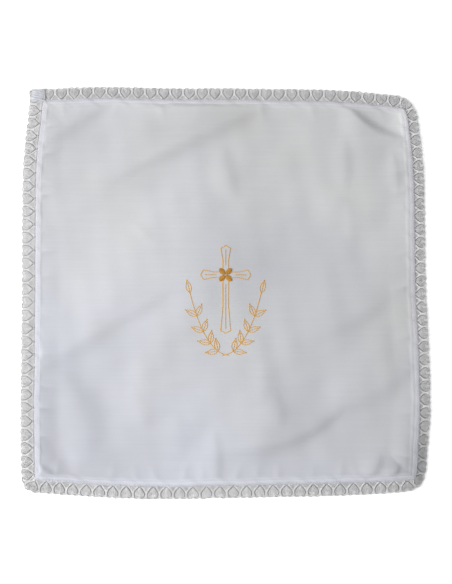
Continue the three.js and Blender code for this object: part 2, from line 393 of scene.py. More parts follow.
def pucker_height(across, up, x, y):
    """Short ridges that run in from the hem and die away."""
    height = np.zeros_like(x)
    sides = {
        "left": (y, (1 + across) * PANEL_WIDTH / 2),
        "right": (y, (1 - across) * PANEL_WIDTH / 2),
        "top": (x, (1 - up) * PANEL_LENGTH / 2),
        "bottom": (x, (1 + up) * PANEL_LENGTH / 2),
    }
    for side, puckers in HEM_PUCKERS.items():
        along, inwards = sides[side]
        fade = smoothstep(inwards, FOLDS_START, FOLDS_FULL)
        fade = fade * (1 - smoothstep(inwards, PUCKER_FADES, PUCKER_REACH))
        for place, rise in puckers:
            aside = along - place - PUCKER_LEAN * math.sin(place) * inwards
            widening = PUCKER_WIDTH * (1 + inwards / PUCKER_REACH)
            height = height + rise * fade * np.exp(-np.hypot(aside, PUCKER_CREST) / widening)
    return height


print(sum(len(puckers) for puckers in HEM_PUCKERS.values()), "puckers")

# %% Height of the cloth
RAISED_CORNER = (168, -168)
RAISED_CORNER_REACH, RAISED_CORNER_RISE = 36.0, 4.6
RIPPLE_SLANT = 1.3
RIPPLE_FADES = (HEM_WIDTH - 2, HEM_WIDTH + 4)


def ripple(along, *waves):
    """Small waves along a side, each given as its length, height and start."""
    return sum(height * np.sin(2 * math.pi * along / length + begin) for length, height, begin in waves)


def hem_height(across, up):
    """The underside of the hem above the table. It ripples, and tilts down to its outer edge."""
    x, y = panel_point(across, up)
    corner = np.hypot(x - RAISED_CORNER[0], y - RAISED_CORNER[1]) / RAISED_CORNER_REACH
    inside = inside_edge(across, up)
    tilt = HEM_TILT * smoothstep(inside, 0, LIFT_STARTS)
    rippled = ripple(x + RIPPLE_SLANT * y, *HEM_RIPPLES) * (1 - smoothstep(inside, *RIPPLE_FADES))
    return HEM_LIFT + RAISED_CORNER_RISE * np.exp(-corner ** 2) + tilt + rippled


def underside_height(across, up):
    """The underside of the cloth above the table, in millimetres."""
    x, y = panel_point(across, up)
    inside = inside_edge(across, up)
    folds = sum(fold_height(x, y, *fold) for fold in FOLDS)
    middle = unevenness(x, y) + folds * smoothstep(inside, FOLDS_START, FOLDS_FULL)
    to_hem = 1 - smoothstep(inside, LIFT_STARTS, LIFT_ENDS)
    edge = hem_height(across, up) + folds * smoothstep(inside, FOLDS_START, FOLDS_FULL)
    height = middle + (edge - middle) * to_hem + pucker_height(across, up, x, y)
    return np.logaddexp(height / TABLE_SOFTNESS, 0) * TABLE_SOFTNESS


print("middle of the cloth", round(float(underside_height(np.zeros(1), np.zeros(1))[0]), 1), "mm up")

# %% [markdown]
# ## The cloth
# The panel is one thin closed sheet. Its grid is even in the middle and much finer across the
# hem, where the doubled edge, the sunk line of stitching and the little ledge inside it each
# need their own lines. The sheet's thickness follows a small table of that section. A short list
# of soft spots paints light and shade into the cotton's colour, as a number at each point: lighter
# and darker patches in place of light and shade that the folds and the lamp don't make.

# %% Painted light and shade on the cotton
COTTON_PAINTED_SPOTS = [
    # place, reach across, reach up, change of brightness that is painted in
    ((-78, 22), 52, 55, 0.06),
    ((-42, 80), 32, 25, 0.06),
    ((-80, 100), 24, 18, -0.05),
    ((-160, -116), 34, 70, -0.14),
    ((-152, 148), 40, 42, -0.08),
    ((34, 20), 60, 40, -0.05),
    ((-44, -96), 56, 44, 0.03),
    ((-22, -164), 40, 20, 0.07),
    ((74, -98), 38, 40, -0.04),
    ((94, 82), 30, 24, 0.07),
    ((152, 52), 20, 30, 0.05),
    ((92, -34), 34, 22, -0.05),
    ((168, 148), 18, 36, 0.11),
    ((168, 155), 12, 24, 0.15),
    ((170, 66), 14, 40, 0.11),
    ((29, -82), 18, 38, 0.08),
    ((-4, -76), 24, 26, -0.045),
    ((-108, -6), 34, 22, 0.05),
    ((-70, -30), 26, 14, 0.06),
    ((170, -162), 28, 34, -0.26),
    ((126, -168), 14, 10, -0.07),
    ((138, -144), 18, 16, 0.05),
    ((14, 154), 42, 16, -0.07),
    ((56, 144), 22, 22, 0.05),
    ((-72, 140), 40, 22, -0.05),
    ((124, 142), 12, 22, -0.06),
    ((125, 60), 16, 60, 0.035),
    ((-78, -90), 22, 40, 0.04),
    ((4, -146), 14, 28, -0.045),
    ((-135, -170), 44, 14, -0.07),
    ((-93, -150), 22, 16, -0.05),
    ((161, 167), 14, 14, 0.13),
    ((0, 170), 190, 7, 0.10),
    ((171, 0), 6, 190, 0.11),
    ((155, -40), 9, 110, -0.05),
    ((-168, 0), 5, 190, -0.11),
    ((160, 20), 11, 150, -0.035),
    ((-152, 20), 12, 120, 0.035),
    ((170, 150), 11, 24, 0.24),
]


def painted_light_and_shade(x, y, spots):
    """The change of brightness, painted light and shade, that soft-edged spots make at points of the table.
    """
    shade = np.zeros_like(x)
    for (east, north), reach_x, reach_y, change in spots:
        shade = shade + change * np.exp(-((x - east) / reach_x) ** 2 - ((y - north) / reach_y) ** 2)
    return shade


def store_values(mesh, name, values):
    """A number for every point of a mesh, that a material reads by name."""
    mesh.attributes.new(name, "FLOAT", "POINT").data.foreach_set("value", values)


print(len(COTTON_PAINTED_SPOTS), "soft spots on the cotton")

# %% Cloth mesh
HEM_SECTION = [
    # inside the edge, thickness
    (0.9, 0.12), (1.3, 0.28), (2.0, 0.50), (2.9, 0.70), (3.7, 0.78), (4.3, 0.70), (4.6, 0.60),
    (4.9, 0.67), (5.4, 0.74), (6.6, 0.70), (7.2, 0.54), (7.8, 0.38), (8.8, 0.32),
]
HEM_STITCH_INSIDE = 4.6
LEDGE_WHITE = 0.5
STITCH_LINE = (HEM_STITCH_INSIDE - 0.3, HEM_STITCH_INSIDE + 0.5)
LEDGE_END = (HEM_WIDTH - 0.4, HEM_WIDTH + 0.6)
HEM_EVENS_SHADE = 0.3
# Painted light and shade on the puckers, as though lit from above: how far up a pucker's height is compared,
# and how strong the painted shade is
PUCKER_SIDE = 2.2
PUCKER_SHADE = 0.2
WANDER_STARTS, WANDER_ENDS = (0, 2.5), (8, 15)
SIDE_PHASE = 60
HEM_SHIFT = 1.3
HEM_SHIFT_FADES = (1.5, 10.0)
FINE_CELL, FINE_BAND = 1.1, 24.0
CLOTH_CELL = 2.3


def grid_stations(half):
    """Grid lines from -1 to 1: the section's lines at each hem, then fine cells, then coarser ones."""
    hem = np.array([inside for inside, _ in HEM_SECTION])
    fine = np.arange(hem[-1] + FINE_CELL, FINE_BAND, FINE_CELL)
    edge = 1 - np.concatenate([hem, fine]) / half
    cells = int(round(2 * edge[-1] * half / CLOTH_CELL))
    middle = np.linspace(-edge[-1], edge[-1], cells + 1)
    return np.concatenate([-edge[:-1], middle, edge[:-1][::-1]])


def sheet_faces(columns, rows):
    """Quads of a closed sheet whose lower points come first and upper points after them."""
    number = np.arange(columns * rows).reshape(rows, columns)
    a, b, c, d = number[:-1, :-1], number[:-1, 1:], number[1:, 1:], number[1:, :-1]
    above = columns * rows
    lower = np.stack([a, d, c, b], axis=-1).reshape(-1, 4)
    upper = np.stack([a, b, c, d], axis=-1).reshape(-1, 4) + above
    rim = np.concatenate([number[0, :-1], number[:-1, -1], number[-1, :0:-1], number[:0:-1, 0]])
    following = np.roll(rim, -1)
    wall = np.stack([rim, following, following + above, rim + above], axis=-1)
    return np.concatenate([lower, upper, wall])


def cloth_point(across, up):
    """The place of a point of the cloth, whose hand-turned hem wanders and sits a little to the right."""
    moved = []
    for here, other, size in ((across, up, PANEL_WIDTH), (up, across, PANEL_LENGTH)):
        inside = (1 - np.abs(here)) * size / 2
        window = smoothstep(inside, *WANDER_STARTS) * (1 - smoothstep(inside, *WANDER_ENDS))
        wander = ripple(other * size / 2 + SIDE_PHASE * here, *HEM_WANDER) * window
        moved.append(here - np.sign(here) * wander * 2 / size)
    x, y = panel_point(*moved)
    from_side = (1 - np.abs(across)) * PANEL_WIDTH / 2
    return x + HEM_SHIFT * (1 - smoothstep(from_side, *HEM_SHIFT_FADES)), y


def thickness_at(inside):
    places, depths = zip(*HEM_SECTION)
    return np.interp(inside, places, depths)


def add_cloth():
    across, up = np.meshgrid(grid_stations(PANEL_WIDTH / 2), grid_stations(PANEL_LENGTH / 2))
    x, y = cloth_point(across, up)
    inside = inside_edge(across, up)
    low = underside_height(across, up)
    layers = [np.stack([x, y, z], axis=-1).reshape(-1, 3) for z in (low, low + thickness_at(inside))]
    mesh = bpy.data.meshes.new("cloth")
    faces = sheet_faces(across.shape[1], across.shape[0])
    mesh.from_pydata((np.concatenate(layers) * MM).tolist(), [], faces.tolist())
    mesh.shade_smooth()
    beyond_stitches = smoothstep(inside, *STITCH_LINE)
    beyond_ledge = smoothstep(inside, *LEDGE_END)
    doubled = 1 - (1 - LEDGE_WHITE) * beyond_stitches - LEDGE_WHITE * beyond_ledge
    # painted light and shade: the spots, and on each pucker painted light above its crest and painted shade
    # below it, as though lit from above; the doubled hem takes less of the spots
    pucker_painted_shade = pucker_height(across, up, x, y) - pucker_height(across, up, x, y + PUCKER_SIDE)
    soft = painted_light_and_shade(x, y, COTTON_PAINTED_SPOTS) * (1 - HEM_EVENS_SHADE * doubled)
    shade = 1 + soft + PUCKER_SHADE * pucker_painted_shade
    store_values(mesh, "hem", np.tile(doubled.ravel(), 2))
    store_values(mesh, "shade", np.tile(shade.ravel(), 2))
    print("cloth", 2 * len(faces), "triangles")
    return add_to_scene("cloth", mesh)


cloth = add_cloth()

# %% [markdown]
# ## Cotton
# The cotton is a fine plain weave, slightly sheer, with slubs: thicker stretches of weft that
# show as faint streaks from side to side. Two stretched noises make the slubs and two crossed
# waves make the weave, in one group. A second group gives every white textile its soft, uneven
# tone. Where the hem doubles the cloth it lets less light through and reads whiter.

# %% Group helpers
def new_group(name, inputs, outputs):
    """A shader node group with number or colour sockets."""
    tree = bpy.data.node_groups.new(name, "ShaderNodeTree")
    for label, kind, value in inputs:
        socket = tree.interface.new_socket(label, in_out="INPUT", socket_type=kind)
        socket.default_value = value
    for label, kind in outputs:
        tree.interface.new_socket(label, in_out="OUTPUT", socket_type=kind)
    return tree, tree.nodes.new("NodeGroupInput"), tree.nodes.new("NodeGroupOutput")


def vector_node(tree, operation, first, second):
    """A vector maths node on two outputs; gives back its own outputs."""
    node = tree.nodes.new("ShaderNodeVectorMath")
    node.operation = operation
    feed(tree, node.inputs[0], first)
    feed(tree, node.inputs[1], second)
    return node.outputs


def noise_node(tree, vector, stretch, detail=2.0):
    """Noise on coordinates stretched by three numbers; gives back its grey output."""
    mapping = tree.nodes.new("ShaderNodeMapping")
    mapping.inputs["Scale"].default_value = stretch
    noise = tree.nodes.new("ShaderNodeTexNoise")
    noise.inputs["Scale"].default_value = 1.0
    noise.inputs["Detail"].default_value = detail
    tree.links.new(vector, mapping.inputs["Vector"])
    tree.links.new(mapping.outputs["Vector"], noise.inputs["Vector"])
    return noise.outputs["Fac"]


# %% Groups for weave and uneven white
YARN_PITCH = 0.42
LONG_SLUB, SHORT_SLUB = (12, 560, 1), (40, 1500, 1)
LONG_SLUB_SHARE, SHORT_SLUB_SHARE = 0.6, 0.4
WEAVE_SHARE = 0.3


def slub_weave_group():
    tree, given, out = new_group(
        "slub_weave",
        [("Coordinates", "NodeSocketVector", (0, 0, 0)), ("Slub", "NodeSocketFloat", 0.1)],
        [("Tint", "NodeSocketFloat"), ("Height", "NodeSocketFloat")],
    )
    place = given.outputs["Coordinates"]
    long_slub = math_node(tree, "MULTIPLY", noise_node(tree, place, LONG_SLUB, 3.0), LONG_SLUB_SHARE)
    short_slub = math_node(tree, "MULTIPLY", noise_node(tree, place, SHORT_SLUB, 2.0), SHORT_SLUB_SHARE)
    slub = math_node(tree, "ADD", long_slub, short_slub)
    centred = math_node(tree, "SUBTRACT", slub, 0.5)
    tint = math_node(tree, "ADD", math_node(tree, "MULTIPLY", centred, given.outputs["Slub"]), 1.0)
    tree.links.new(tint, out.inputs["Tint"])
    split = tree.nodes.new("ShaderNodeSeparateXYZ")
    tree.links.new(place, split.inputs[0])
    turns = 2 * math.pi / (YARN_PITCH * MM)
    angles = [math_node(tree, "MULTIPLY", split.outputs[axis], turns) for axis in "XY"]
    weave = math_node(tree, "MULTIPLY", *(math_node(tree, "SINE", angle) for angle in angles))
    height = math_node(tree, "ADD", math_node(tree, "MULTIPLY", weave, WEAVE_SHARE), slub)
    tree.links.new(height, out.inputs["Height"])
    return tree


def uneven_white_group():
    tree, given, out = new_group(
        "uneven_white",
        [("Coordinates", "NodeSocketVector", (0, 0, 0)), ("Cool", "NodeSocketColor", (1, 1, 1, 1)),
         ("Warm", "NodeSocketColor", (1, 1, 1, 1)), ("Patch Size", "NodeSocketFloat", 0.06),
         ("Lean", "NodeSocketVector", (0, 0, 0))],
        [("Color", "NodeSocketColor")],
    )
    place = given.outputs["Coordinates"]
    lean = vector_node(tree, "DOT_PRODUCT", place, given.outputs["Lean"])["Value"]
    scaled = vector_node(tree, "DIVIDE", place, given.outputs["Patch Size"])["Vector"]
    patches = math_node(tree, "ADD", noise_node(tree, scaled, (1, 1, 1)), lean)
    color = mix_colors(tree, patches, given.outputs["Cool"], given.outputs["Warm"])
    tree.links.new(color, out.inputs["Color"])
    return tree


slub_weave = slub_weave_group()
uneven_white = uneven_white_group()
print("groups", slub_weave.name, "and", uneven_white.name)

# %% Cotton material
COTTON_COOL = srgb(197, 198, 207)
COTTON_WARM = srgb(202, 202, 200)
HEM_COOL = srgb(211, 212, 221)
HEM_WARM = srgb(204, 202, 204)
COTTON_PATCH = 0.11
COTTON_LEAN = (0.9, 1.8, 0)
COTTON_SLUB = 0.14
COTTON_ROUGHNESS, COTTON_SHEEN = 0.85, 0.15
WEAVE_DEPTH = 0.06
TEXTILE_SPECULAR = 0.25
SHEEN_ROUGHNESS = 0.5


def start_material(name, roughness, sheen):
    """A material with its Principled shader, and the object's own coordinates."""
    material = bpy.data.materials.new(name)
    material.use_nodes = True
    tree = material.node_tree
    shader = tree.nodes["Principled BSDF"]
    shader.inputs["Roughness"].default_value = roughness
    shader.inputs["Specular IOR Level"].default_value = TEXTILE_SPECULAR
    shader.inputs["Sheen Weight"].default_value = sheen
    shader.inputs["Sheen Roughness"].default_value = SHEEN_ROUGHNESS
    coordinates = tree.nodes.new("ShaderNodeTexCoord").outputs["Object"]
    return material, tree, shader, coordinates


def place_group(tree, group, **values):
    """A node of a group in a material, with its inputs linked or set by name."""
    node = tree.nodes.new("ShaderNodeGroup")
    node.node_tree = group
    for label, value in values.items():
        feed(tree, node.inputs[label.replace("_", " ")], value)
    return node


def add_bump(tree, shader, height, depth):
    """Bump of a real depth in millimetres, from a height that runs from about 0 to 1."""
    bump = tree.nodes.new("ShaderNodeBump")
    bump.inputs["Distance"].default_value = depth * MM
    tree.links.new(height, bump.inputs["Height"])
    tree.links.new(bump.outputs["Normal"], shader.inputs["Normal"])


def attribute(tree, name):
    node = tree.nodes.new("ShaderNodeAttribute")
    node.attribute_name = name
    return node.outputs["Fac"]


def cotton_material():
    material, tree, shader, coordinates = start_material(
        "slub_cotton", COTTON_ROUGHNESS, COTTON_SHEEN)
    weave = place_group(tree, slub_weave, Coordinates=coordinates, Slub=COTTON_SLUB)
    single, doubled = (
        place_group(tree, uneven_white, Coordinates=coordinates, Cool=cool, Warm=warm,
                    Patch_Size=COTTON_PATCH, Lean=COTTON_LEAN).outputs["Color"]
        for cool, warm in ((COTTON_COOL, COTTON_WARM), (HEM_COOL, HEM_WARM)))
    hemmed = mix_colors(tree, attribute(tree, "hem"), single, doubled)
    # the slubs' own tint, times the painted light and shade stored at each point
    tint = math_node(tree, "MULTIPLY", weave.outputs["Tint"], attribute(tree, "shade"))
    color = mix_colors(tree, 1.0, hemmed, tint, "MULTIPLY")
    tree.links.new(color, shader.inputs["Base Color"])
    add_bump(tree, shader, weave.outputs["Height"], WEAVE_DEPTH)
    return material


cloth.data.materials.append(cotton_material())
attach(cloth, "root")
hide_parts("cloth_panel")
print("cotton on", cloth.name)

# %% [markdown]
# ## Thread
# Lace, seams and embroidery are all twisted thread. A thread's finish follows the thread, so
# the trees below store how far along it and how far round it each point lies, and a group turns
# those two into the slanting marks of the twist: a bump, with painted shade in its grooves and
# painted light on its strands.

# %% Twisted thread
GROOVE_SHADE, STRAND_LIGHT = 0.78, 0.3
TWIST_DEPTH = 0.05
THREAD_PATCH = 0.01


def twisted_thread_group():
    tree, given, out = new_group(
        "twisted_thread",
        [("Along", "NodeSocketFloat", 0.0), ("Around", "NodeSocketFloat", 0.0),
         ("Twist Length", "NodeSocketFloat", 0.001)],
        [("Shade", "NodeSocketFloat"), ("Height", "NodeSocketFloat")],
    )
    turns = math_node(tree, "DIVIDE", given.outputs["Along"], given.outputs["Twist Length"])
    slanted = math_node(tree, "ADD", turns, given.outputs["Around"])
    wave = math_node(tree, "SINE", math_node(tree, "MULTIPLY", slanted, 2 * math.pi))
    strand = math_node(tree, "ABSOLUTE", wave)
    tree.links.new(strand, out.inputs["Height"])
    # painted shade in the grooves of the twist and painted light on its strands
    shade = math_node(tree, "ADD", math_node(tree, "MULTIPLY", strand, STRAND_LIGHT), GROOVE_SHADE)
    tree.links.new(shade, out.inputs["Shade"])
    return tree


twisted_thread = twisted_thread_group()
print("group", twisted_thread.name)


# %% Thread materials
LACE_FINISH = {"twist": 1.2, "roughness": 0.8, "sheen": 0.15, "shaded": True}
SEWING_FINISH = {"twist": 0.9, "roughness": 0.6, "sheen": 0.1}
GOLD_FINISH = {"twist": 0.8, "roughness": 0.45, "sheen": 0.1}
SATIN_FINISH = {"twist": 0.8, "roughness": 0.4, "sheen": 0.1}


def thread_material(name, cool, warm, twist, roughness, sheen, shaded=False):
    """Thread whose colour wanders between two; twist is the length of a turn in millimetres."""
    material, tree, shader, coordinates = start_material(name, roughness, sheen)
    tone = place_group(tree, uneven_white, Coordinates=coordinates, Cool=cool, Warm=warm,
                       Patch_Size=THREAD_PATCH)
    spun = place_group(tree, twisted_thread, Along=attribute(tree, "along"),
                       Around=attribute(tree, "around"), Twist_Length=twist * MM)
    # the twist's painted shade, times the painted light and shade stored on the lace when shaded
    tint = spun.outputs["Shade"]
    if shaded:
        tint = math_node(tree, "MULTIPLY", tint, attribute(tree, "shade"))
    color = mix_colors(tree, 1.0, tone.outputs["Color"], tint, "MULTIPLY")
    tree.links.new(color, shader.inputs["Base Color"])
    add_bump(tree, shader, spun.outputs["Height"], TWIST_DEPTH)
    return material


# Cords and net are the same thread in two copies; their colours and their painted light and shade in the
# lace's table differ, to set how light each reads
cord_thread = thread_material("lace_cord", srgb(225, 226, 226), srgb(232, 229, 228), **LACE_FINISH)
net_thread = thread_material("lace_net", srgb(219, 221, 222), srgb(228, 224, 224), **LACE_FINISH)
white_thread = thread_material("white_thread", srgb(222, 224, 232), srgb(232, 233, 238), **SEWING_FINISH)
gold_thread = thread_material("gold_thread", srgb(224, 170, 78), srgb(236, 188, 100), **GOLD_FINISH)
deep_gold_thread = thread_material(
    "deep_gold_thread", srgb(190, 134, 44), srgb(206, 152, 62), **SATIN_FINISH)
print("thread for cords, net, sewing and two golds")

# %% [markdown]
# ## Trees that lay thread
# Three small Geometry Nodes trees do all the sewing. One spins a curve into a thread of the
# curve's own radius. One repeats a piece of lace along a strip and bends that strip round the
# cloth. One sets equal stitches along a path. Curves drawn in Python are only their guides.

# %% Tree helpers
class Tree:
    """A Geometry Nodes tree that is written one node at a time."""

    def __init__(self, name, inputs):
        self.tree = bpy.data.node_groups.new(name, "GeometryNodeTree")
        self.identifiers = {}
        self.tree.interface.new_socket("Geometry", in_out="INPUT", socket_type="NodeSocketGeometry")
        for label, kind in inputs:
            socket = self.tree.interface.new_socket(label, in_out="INPUT", socket_type=kind)
            self.identifiers[label] = socket.identifier
        self.tree.interface.new_socket("Geometry", in_out="OUTPUT", socket_type="NodeSocketGeometry")
        self.given = self.tree.nodes.new("NodeGroupInput").outputs
        self.out = self.tree.nodes.new("NodeGroupOutput").inputs

    def node(self, kind, values=(), **settings):
        """A node with settings, and its inputs set or linked by name or number."""
        node = self.tree.nodes.new(kind)
        for label, value in settings.items():
            setattr(node, label, value)
        for label, value in dict(values).items():
            feed(self.tree, node.inputs[label], value)
        return node.outputs

    def maths(self, operation, first, second=0.0):
        return self.node("ShaderNodeMath", {0: first, 1: second}, operation=operation)[0]

    def vectors(self, operation, first, second=(0, 0, 0)):
        return self.node("ShaderNodeVectorMath", {0: first, 1: second}, operation=operation)[0]

    def scaled(self, vector, size):
        return self.node("ShaderNodeVectorMath", {0: vector, "Scale": size}, operation="SCALE")[0]

    def point(self, **parts):
        """A vector from its X, Y and Z; a part that isn't given is 0."""
        return self.node("ShaderNodeCombineXYZ", parts)[0]

    def marked(self, curve, name, part):
        """A curve that stores a part of the spline parameter under a name."""
        value = self.node("GeometryNodeSplineParameter")[part]
        return self.node("GeometryNodeStoreNamedAttribute",
                         {"Geometry": curve, "Name": name, "Value": value})["Geometry"]

    def spin(self, curve, radius):
        """Threads of a radius along curves, with their finish's two coordinates stored."""
        circle = self.node("GeometryNodeCurvePrimitiveCircle",
                           {"Resolution": self.given["Sides"], "Radius": 1.0})["Curve"]
        return self.node("GeometryNodeCurveToMesh", {
            "Curve": self.marked(curve, "along", "Length"), "Scale": radius,
            "Profile Curve": self.marked(circle, "around", "Factor"), "Fill Caps": True,
        })["Mesh"]

    def finish(self, geometry):
        """The last steps of every tree: real mesh, smooth faces and the thread's material."""
        real = self.node("GeometryNodeRealizeInstances", {"Geometry": geometry})["Geometry"]
        smooth = self.node("GeometryNodeSetShadeSmooth", {"Geometry": real})["Geometry"]
        done = self.node("GeometryNodeSetMaterial", {"Geometry": smooth, "Material": self.given["Material"]})
        self.tree.links.new(done["Geometry"], self.out["Geometry"])


def grow(name, tree, values, guide):
    """Runs a tree on a guide curve and keeps the result as a plain mesh object at the origin."""
    modifier = guide.modifiers.new(name, "NODES")
    modifier.node_group = tree.tree
    for label, value in values.items():
        modifier[tree.identifiers[label]] = value
    evaluated = guide.evaluated_get(bpy.context.evaluated_depsgraph_get())
    mesh = bpy.data.meshes.new_from_object(evaluated)
    guide.modifiers.remove(modifier)
    bpy.data.objects.remove(guide)
    mesh.name = name
    piece = add_to_scene(name, mesh)
    mesh.calc_loop_triangles()
    print(name, len(mesh.loop_triangles), "triangles")
    return piece


def guide_curve(name, lines, radii):
    """A curve object of straight-sided lines, in millimetres, with a radius for each line or point."""
    data = bpy.data.curves.new(name, "CURVE")
    data.dimensions = "3D"
    for line, radius in zip(lines, radii):
        points = np.asarray(line, float) * MM
        spline = data.splines.new("POLY")
        spline.points.add(len(points) - 1)
        spline.points.foreach_set("co", np.column_stack([points, np.ones(len(points))]).ravel())
        radius = np.broadcast_to(np.asarray(radius, float) * MM, len(points))
        spline.points.foreach_set("radius", radius.copy())
    return add_to_scene(name, data)


# %% Tree for plain threads
THREAD_INPUTS = [("Sides", "NodeSocketInt"), ("Material", "NodeSocketMaterial")]


def spun_threads_tree():
    tree = Tree("spun_threads", THREAD_INPUTS)
    tree.finish(tree.spin(tree.given["Geometry"], tree.node("GeometryNodeInputRadius")["Radius"]))
    return tree


spun_threads = spun_threads_tree()
print("tree", spun_threads.tree.name)


# %% Tree for the lace strip
DRIFT_SCALE = 170.0


def lace_strip_tree():
    tree = Tree("lace_strip", [
        ("Repeat", "NodeSocketObject"), ("Count", "NodeSocketInt"), ("Pitch", "NodeSocketFloat"),
        ("Hem Side", "NodeSocketFloat"), ("Outer Side", "NodeSocketFloat"),
        ("Wander", "NodeSocketFloat"), *THREAD_INPUTS,
    ])
    given = tree.given
    radius = tree.node("GeometryNodeInputRadius")["Radius"]
    line = tree.node("GeometryNodeMeshLine", {
        "Count": given["Count"], "Offset": tree.point(X=given["Pitch"]),
    }, mode="OFFSET")["Mesh"]
    repeat = tree.node("GeometryNodeObjectInfo", {"Object": given["Repeat"]})["Geometry"]
    copies = tree.node("GeometryNodeInstanceOnPoints", {"Points": line, "Instance": repeat})["Instances"]
    strip = tree.node("GeometryNodeRealizeInstances", {"Geometry": copies})["Geometry"]
    noise = tree.node("ShaderNodeTexNoise", {"Scale": DRIFT_SCALE, "Detail": 1.0})["Color"]
    drift = tree.scaled(tree.vectors("SUBTRACT", noise, (0.5, 0.5, 0.5)), given["Wander"])
    strip = tree.node("GeometryNodeSetPosition", {"Geometry": strip, "Offset": drift})["Geometry"]
    flat = tree.node("ShaderNodeSeparateXYZ", {0: tree.node("GeometryNodeInputPosition")[0]})
    rim = tree.node("GeometryNodeSampleCurve", {
        "Curves": given["Geometry"], "Length": flat["X"], "Value": radius,
    }, mode="LENGTH", use_all_curves=True)
    tangent = tree.vectors("MULTIPLY", rim["Tangent"], (1, 1, 0))
    outwards = tree.vectors("NORMALIZE", tree.vectors("CROSS_PRODUCT", (0, 0, 1), tangent))
    place = tree.vectors("ADD", rim["Position"], tree.scaled(outwards, flat["Y"]))
    place = tree.node("ShaderNodeSeparateXYZ", {0: place})
    slope = tree.node("ShaderNodeMapRange", {
        "Value": flat["Y"], "From Min": given["Hem Side"], "From Max": given["Outer Side"],
        "To Min": place["Z"], "To Max": rim["Value"],
    })[0]
    laid = tree.point(X=place["X"], Y=place["Y"], Z=tree.maths("ADD", slope, flat["Z"]))
    bent = tree.node("GeometryNodeSetPosition", {"Geometry": strip, "Position": laid})["Geometry"]
    tree.finish(tree.spin(bent, radius))
    return tree


lace_strip = lace_strip_tree()
print("tree", lace_strip.tree.name)


# %% Tree for stitches along a path
STITCH_SUNK = 0.6
STITCH_PIECES = 5


def stitch_line_tree():
    tree = Tree("stitch_line", [
        ("Pitch", "NodeSocketFloat"), ("Stitch Length", "NodeSocketFloat"),
        ("Thread Radius", "NodeSocketFloat"), ("Rise", "NodeSocketFloat"),
        ("Wander", "NodeSocketFloat"), ("Seed", "NodeSocketInt"), *THREAD_INPUTS,
    ])
    given = tree.given
    points = tree.node("GeometryNodeCurveToPoints", {"Curve": given["Geometry"], "Length": given["Pitch"]},
                       mode="LENGTH")
    half = tree.maths("MULTIPLY", given["Stitch Length"], 0.5)
    sunk = tree.maths("MULTIPLY", given["Thread Radius"], -STITCH_SUNK)
    bezier = tree.node("GeometryNodeCurveQuadraticBezier", {
        "Resolution": STITCH_PIECES, "Middle": tree.point(Z=given["Rise"]),
        "Start": tree.point(X=tree.maths("MULTIPLY", half, -1.0), Z=sunk),
        "End": tree.point(X=half, Z=sunk),
    })["Curve"]
    stitch = tree.spin(bezier, given["Thread Radius"])
    flat = tree.vectors("MULTIPLY", points["Tangent"], (1, 1, 0))
    turned = tree.node("FunctionNodeAlignRotationToVector", {"Vector": flat},
                       axis="X", pivot_axis="Z")["Rotation"]
    wander = tree.node("FunctionNodeRandomValue", {
        "Min": tree.maths("MULTIPLY", given["Wander"], -1.0), "Max": given["Wander"], "Seed": given["Seed"],
    }, data_type="FLOAT")[1]
    spin = tree.node("FunctionNodeEulerToRotation", {0: tree.point(Z=wander)})[0]
    aimed = tree.node("FunctionNodeRotateRotation", {"Rotation": turned, "Rotate By": spin})[0]
    sewn = tree.node("GeometryNodeInstanceOnPoints", {
        "Points": points["Points"], "Instance": stitch, "Rotation": aimed,
    })["Instances"]
    tree.finish(sewn)
    return tree


stitch_line = stitch_line_tree()
print("tree", stitch_line.tree.name)

# %% [markdown]
# ## The lace
# The edging repeats a small leaf of net, shaped like a heart with its tip to the hem. It hangs
# from a scalloped edge inside a narrow gap, between posts that split and run down both sides of
# the gap to the hem. One repeat is drawn flat, as threads with their own thickness: stout cords
# for the edge, the posts and the heading, fine threads for the leaf and the net. The tree
# repeats it and bends the strip round the cloth.

# %% One repeat of the lace
LACE_WIDTH = 10.4
LACE_REPEAT = 11.8
LACE_LAP = 3.4
SCALLOP_DEPTH = 1.2
CORD = 0.27
EDGE_CORD = 0.32
LEAF_CORD = 0.22
NET_THREAD = 0.225
NET_PITCH = 0.8
LEG_NET_PITCH = 1.05
NET_SLANT = 0.8
NET_CROSSING = 0.07
GAP_HALF = 0.44
GAP_LINE = [
    # depth below the outer edge, and half-width, of the middle of the gap round the leaf
    (2.3, 1.1), (1.55, 1.9), (1.45, 2.9), (2.0, 3.9), (3.1, 4.5), (4.5, 4.7), (6.1, 4.2),
    (7.7, 3.1), (9.3, 1.6), (10.5, 0.35),
]
# Each cord of a post by its distance from the post's middle, at the ends and at the waist
POST_CORDS = [(1.35, 0.55), (0.7, 0.3), (0.15, 0.12)]
POST_DEPTHS = (1.3, 3.2, 5.4, 7.2)
# Threads beside the leaf's middle line, then their spread as rows of depth and share
STALK_CORDS = (-0.9, -0.3, 0.3, 0.9)
STALK_LINE = [(1.2, 1.0), (2.2, 0.8), (3.8, 1.3)]
VEIN_CORDS = (-1.6, 0.0, 1.6)
VEIN_LINE = [(3.0, 0.9), (4.8, 1.0), (6.8, 0.7), (8.6, 0.1)]
HEADING_CORDS = (0.5, LACE_LAP - 0.3)
SCALLOP_POINTS = 17
NET_SPREAD = 16
NET_STEPS, NET_SHORTEST = 60, 4
LAYER_RISE = 0.05
LEAF_NOTCH = 0.6
LEAF_SHOULDER = 4


def at_depth(sideways, depth, z=0.0):
    """A point of the flat repeat from its middle and its outer edge."""
    return (sideways + LACE_REPEAT / 2, LACE_WIDTH - depth, z)


def smooth_line(points, pieces):
    """A rounder line through points: each stretch of a smooth curve cut in equal pieces."""
    knots = np.asarray(points, float)
    ends = np.concatenate([2 * knots[:1] - knots[1:2], knots, 2 * knots[-1:] - knots[-2:-1]])
    t = np.arange(pieces)[:, None] / pieces
    line = []
    for i in range(len(knots) - 1):
        line.append(smooth_stretch(*ends[i:i + 4], t))
    return np.concatenate([*line, knots[-1:]])


